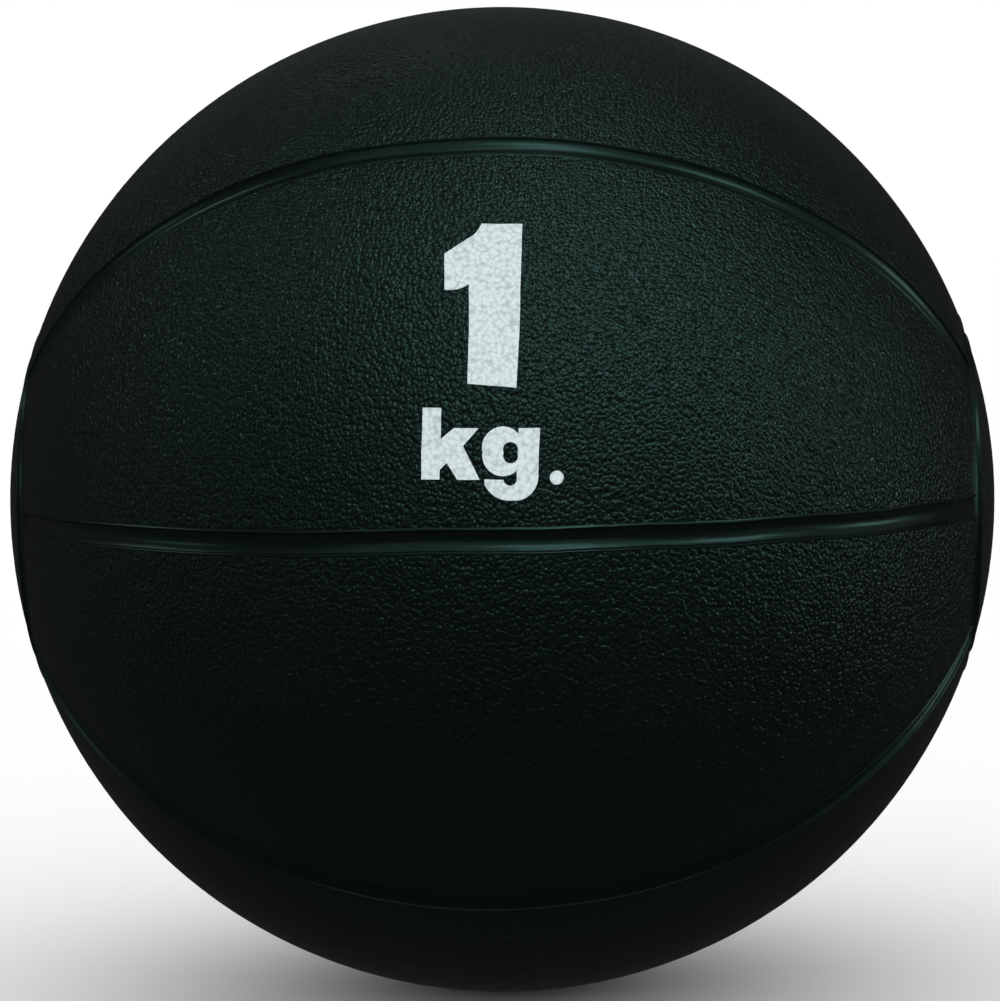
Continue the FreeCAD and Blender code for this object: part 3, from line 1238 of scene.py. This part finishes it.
@dataclass
class Studio:
    """A pale floor and surround, soft lights and the camera.

    Attributes:
        distance: From the ball's middle to the camera.
        above: The camera's angle above the ball's middle.
        aside: Its angle from the front, towards the right.
        roll: How far it is turned about its own line of sight.
        lens: Its focal length, in millimetres.
        sensor: The width of its sensor, in millimetres.
        shift_x: Its shift to the right.
        shift_y: Its shift upwards.
        floor_reach: From the middle of the floor to its edges.
        surround: How bright the surround is.
        surround_in_gloss: How bright the ball's gloss sees it.
        softboxes: The lights, which only the gloss sees. The small bright panes in the broad dim
            windows give the pebbles their glints.
    """

    distance: float = 0.704
    above: float = math.radians(4.24)
    aside: float = math.radians(1.8)
    roll: float = math.radians(0.98)
    lens: float = 129.9
    sensor: float = 36
    shift_x: float = -0.0023
    shift_y: float = -0.001
    floor_reach: float = 20
    surround: float = 1.0
    surround_in_gloss: float = 0.028
    softboxes: tuple[Softbox, ...] = (
        # name, azimuth, elevation, width, height, radiance, distance
        Softbox("front_window", 0, 44, 64, 84, 0.3),
        Softbox("front_pane_high", 24, 60, 8, 24, 3.4),
        Softbox("front_pane_low", 10, 40, 12, 12, 3.4),
        Softbox("right_window", 80, 22, 70, 74, 0.14),
        Softbox("right_pane", 62, 38, 14, 20, 2.4),
        Softbox("right_pane_low", 92, 4, 12, 14, 2.4),
        Softbox("ceiling", 180, 80, 70, 60, 0.02),
        Softbox("ceiling_pane", 30, 86, 18, 18, 0.7),
        Softbox("left_window", -88, 46, 60, 44, 0.06),
        Softbox("left_wall", -90, 0, 70, 40, 0.03),
        Softbox("left_pane", -104, 42, 11, 18, 1.2),
        Softbox("left_pane_low", -76, 14, 12, 14, 0.8),
        Softbox("rear_window", 180, 30, 50, 36, 0.035, 2.5),
        Softbox("rear_pane", 166, 60, 10, 18, 0.6),
        Softbox("rear_pane_low", -168, 34, 10, 10, 0.2),
    )

    def build(self) -> None:
        """Make the floor, the lights, the surround and the camera."""
        self.floor()
        for softbox in self.softboxes:
            softbox.build()
        self.world()
        self.camera()

    def floor(self) -> None:
        """A pale plain floor that the ball stands on."""
        sheet = bmesh.new()
        bmesh.ops.create_grid(sheet, x_segments=1, y_segments=1, size=self.floor_reach)
        mesh = bpy.data.meshes.new("floor")
        sheet.to_mesh(mesh)
        sheet.free()
        mesh.transform(Matrix.Translation((0, 0, -FORM.radius)))
        floor = link("floor", mesh)
        pale = bpy.data.materials.new("pale_floor")
        pale.use_nodes = True
        paper = pale.node_tree.nodes["Principled BSDF"]
        paper.inputs["Base Color"].default_value = linear("#ffffff")
        paper.inputs["Roughness"].default_value = 1.0
        paper.inputs["Specular IOR Level"].default_value = 0.0
        mesh.materials.append(pale)
        floor.visible_glossy = False

    def world(self) -> None:
        """A pale surround, which the ball's gloss sees as dim as a black-draped studio."""
        world = bpy.data.worlds.new("pale_surround")
        world.use_nodes = True
        background = world.node_tree.nodes["Background"]
        background.inputs["Color"].default_value = (1, 1, 1, 1)
        ray = add_node(world.node_tree, "LightPath")
        strength = add_node(
            world.node_tree,
            "MapRange",
            {3: self.surround, 4: self.surround_in_gloss},
            {"Value": ray.outputs["Is Glossy Ray"]},
        )
        world.node_tree.links.new(strength.outputs["Result"], background.inputs["Strength"])
        bpy.context.scene.world = world
        bpy.context.scene.view_settings.view_transform = "Standard"

    def camera(self) -> None:
        """The camera, a little above the ball's middle and a little to its right."""
        data = bpy.data.cameras.new("camera")
        data.lens = self.lens
        data.sensor_width = self.sensor
        data.shift_x = self.shift_x
        data.shift_y = self.shift_y
        camera = link("camera", data)
        away = outward(self.aside, self.above)
        camera.location = away * self.distance
        camera.rotation_mode = "QUATERNION"
        facing = (-away).to_track_quat("-Z", "Y")
        camera.rotation_quaternion = facing @ Matrix.Rotation(-self.roll, 3, "Z").to_quaternion()
        bpy.context.scene.camera = camera


def main() -> None:
    """Build the ball from the outside in, then the studio."""
    Cover().build()
    Channels().build()
    Marking().build()
    Valve().build()
    Core().build()
    Studio().build()


if __name__ == "__main__":
    logging.basicConfig(level=logging.INFO, format="%(message)s")
    main()
